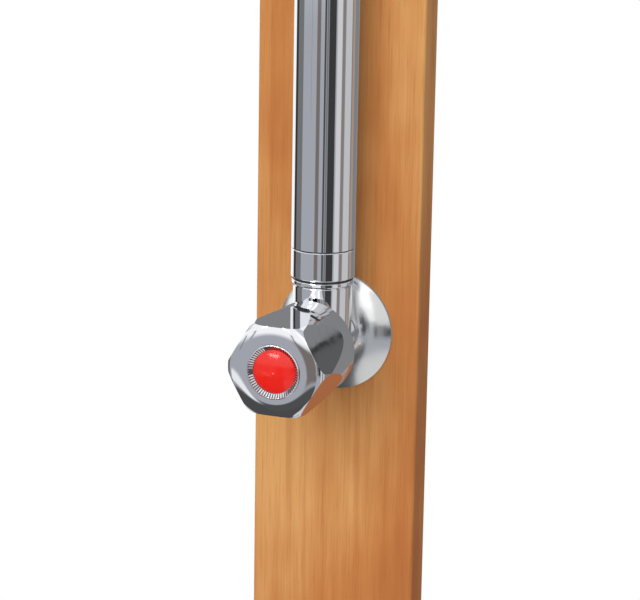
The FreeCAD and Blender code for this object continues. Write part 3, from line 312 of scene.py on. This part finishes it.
# The room that polished metal reflects. Azimuth is in degrees from the front (-Y) towards
# +X, and height is in degrees above the horizon.
DAYLIGHT = (0.54, 0.54, 0.54)
MID_WALL = (0.43, 0.445, 0.48)
CEILING = (1.1, 1.1, 1.1)
GROUND = (0.70, 0.70, 0.70)
CEILING_EDGE = (26.0, 38.0)
GROUND_EDGE = (-34.0, -24.0)


class Panel:
    """A light or dark screen round the post, seen only in what shines. Its top and bottom
    edges lean: they rise by lean degrees for each degree of azimuth."""

    def __init__(self, azimuth, width, shade, low=-24.0, high=24.0, lean=0.0, blur=1.5):
        self.azimuth = azimuth
        self.width = width
        self.shade = shade if isinstance(shade, tuple) else (shade, shade, shade)
        self.low = low
        self.high = high
        self.lean = lean
        self.blur = blur


PANELS = [
    # Front: dark ground, white window wall, and the window itself
    Panel(-50.0, 96.0, 0.08, low=-91.0, high=-22.0),
    Panel(-12.0, 24.0, 0.09, low=-28.0, high=-19.5, blur=1.0),
    Panel(-25.0, 86.0, 1.1, low=-4.0, high=40.0, blur=3.0),
    Panel(-20.0, 18.0, 20.0, low=12.5, high=15.0, blur=1.5),
    Panel(17.0, 22.0, 1.5, low=8.0, high=34.0, blur=4.0),
    # Bare branches against the window wall
    Panel(-33.0, 1.0, 0.25, low=-9.0, high=0.0, blur=0.4),
    Panel(-28.5, 1.0, 0.25, low=-5.5, high=1.0, blur=0.4),
    Panel(-12.5, 1.0, 0.25, low=-6.0, high=1.0, blur=0.4),
    Panel(-34.0, 18.0, 1.0, low=-21.0, high=-16.5, lean=-0.15, blur=1.0),
    Panel(-7.0, 13.0, (0.21, 0.18, 0.165), low=-18.0, high=-5.0),
    # Left side
    Panel(-132.0, 40.0, 1.1),
    Panel(-86.0, 36.0, 0.20),
    Panel(-104.0, 16.0, 0.04),
    # Right side
    Panel(90.0, 120.0, (0.64, 0.66, 0.72), low=26.0, high=91.0),
    Panel(38.0, 42.0, 0.80, low=-4.0, high=30.0),
    Panel(16.5, 6.0, 0.06, low=-15.0, high=-4.5),
    Panel(24.5, 6.0, 0.20, low=-15.0, high=-4.5),
    Panel(41.5, 25.0, 0.05, low=-15.0, high=-4.5),
    Panel(68.0, 18.0, 0.72),
    Panel(85.0, 12.0, (0.28, 0.24, 0.21)),
    Panel(108.0, 30.0, 0.62),
    # Behind: grey walls over a timber floor, and a dark rail seen in the upper right flat
    Panel(150.0, 56.0, (0.25, 0.25, 0.255), low=-21.0, high=24.0),
    Panel(-165.0, 28.0, (0.25, 0.25, 0.255), low=-21.0, high=30.0),
    Panel(135.0, 14.0, (0.45, 0.33, 0.25), low=-16.0, high=-3.0),
    Panel(160.0, 76.0, (0.42, 0.15, 0.06), low=-48.0, high=-21.0),
    Panel(151.2, 5.0, 0.12, low=8.0, high=11.03, lean=-0.33, blur=0.02),
    Panel(151.2, 5.0, 0.035, low=10.83, high=11.03, lean=-0.33, blur=0.02),
]


def make_room():
    """White to the eye and plain daylight to matt surfaces; polished metal sees the room."""
    world = bpy.data.worlds.new("room")
    scene.world = world
    world.use_nodes = True
    g = Graph(world.node_tree)
    direction = g.add("TexCoord").outputs["Generated"]
    axes = g.add("SeparateXYZ", {0: direction})
    right, back, up = (axes.outputs[name] for name in ("X", "Y", "Z"))
    front = g.math("MULTIPLY", back, -1.0)
    azimuth = g.math("DEGREES", g.math("ARCTAN2", right, front))
    height = g.math("DEGREES", g.math("ARCSINE", up))
    colour = g.mix(g.smooth(height, *CEILING_EDGE), solid(MID_WALL), solid(CEILING))
    colour = g.mix(g.smooth(height, *GROUND_EDGE), solid(GROUND), colour)
    for panel in PANELS:
        along = g.math("WRAP", g.math("SUBTRACT", azimuth, panel.azimuth), 180.0, -180.0)
        level = g.math("MULTIPLY_ADD", along, -panel.lean, height)
        half = panel.width / 2
        blur = panel.blur
        across = g.smooth(g.math("ABSOLUTE", along), half - blur, half + blur, 1.0, 0.0)
        above = g.smooth(level, panel.low - blur, panel.low + blur)
        below = g.smooth(level, panel.high - blur, panel.high + blur, 1.0, 0.0)
        share = g.math("MULTIPLY", across, g.math("MULTIPLY", above, below))
        colour = g.mix(share, colour, solid(panel.shade))
    path = g.add("LightPath")
    matt = g.mix(path.outputs["Is Camera Ray"], solid(DAYLIGHT), solid(WHITE))
    seen = g.mix(path.outputs["Is Glossy Ray"], matt, colour)
    background = g.add("Background", {"Color": seen, "Strength": 1.0})
    output = g.add("OutputWorld")
    g.tree.links.new(background.outputs[0], output.inputs["Surface"])


KEY_PLACE = (-0.15, -2.5, 2.2)
KEY_AIM = (0.0, 0.0, 1.1)
KEY_SIZE = 1.8
KEY_POWER = 54.0


def make_lamp(name, place, aim, size, power):
    """A soft square lamp that polished surfaces don't mirror."""
    data = bpy.data.lights.new(name, "AREA")
    data.shape = "SQUARE"
    data.size = size
    data.energy = power
    lamp = bpy.data.objects.new(name, data)
    scene.collection.objects.link(lamp)
    turn = (Vector(aim) - Vector(place)).to_track_quat("-Z", "Y").to_matrix().to_4x4()
    lamp.matrix_world = Matrix.Translation(place) @ turn
    lamp.visible_glossy = False


# ---------------------------------------------------------------------------
# Camera
# ---------------------------------------------------------------------------

CAMERA_AZIMUTH = math.radians(19.49)
CAMERA_HEIGHT_ANGLE = math.radians(13.41)
CAMERA_ROLL = math.radians(0.95)
CAMERA_DISTANCE = 1.18643
CAMERA_LENS = 130.3
CAMERA_SENSOR = 36.0
CAMERA_AIM = Vector((-0.00889, -0.010, 1.06483))


def make_camera():
    """The camera that was solved from the photograph."""
    data = bpy.data.cameras.new("camera")
    data.sensor_width = CAMERA_SENSOR
    data.lens = CAMERA_LENS
    camera = bpy.data.objects.new("camera", data)
    scene.collection.objects.link(camera)
    flat = math.cos(CAMERA_HEIGHT_ANGLE)
    back = Vector((
        math.sin(CAMERA_AZIMUTH) * flat, -math.cos(CAMERA_AZIMUTH) * flat,
        math.sin(CAMERA_HEIGHT_ANGLE),
    ))
    level = Vector((math.cos(CAMERA_AZIMUTH), math.sin(CAMERA_AZIMUTH), 0.0))
    upright = back.cross(level)
    right = level * math.cos(CAMERA_ROLL) + upright * math.sin(CAMERA_ROLL)
    turn = Matrix((right, back.cross(right), back)).transposed()
    camera.matrix_world = Matrix.Translation(CAMERA_AIM + back * CAMERA_DISTANCE) @ turn.to_4x4()
    scene.camera = camera


finish_nodes()
make_floor()
make_room()
make_lamp("key", KEY_PLACE, KEY_AIM, KEY_SIZE, KEY_POWER)
make_camera()
scene.view_settings.view_transform = "Standard"
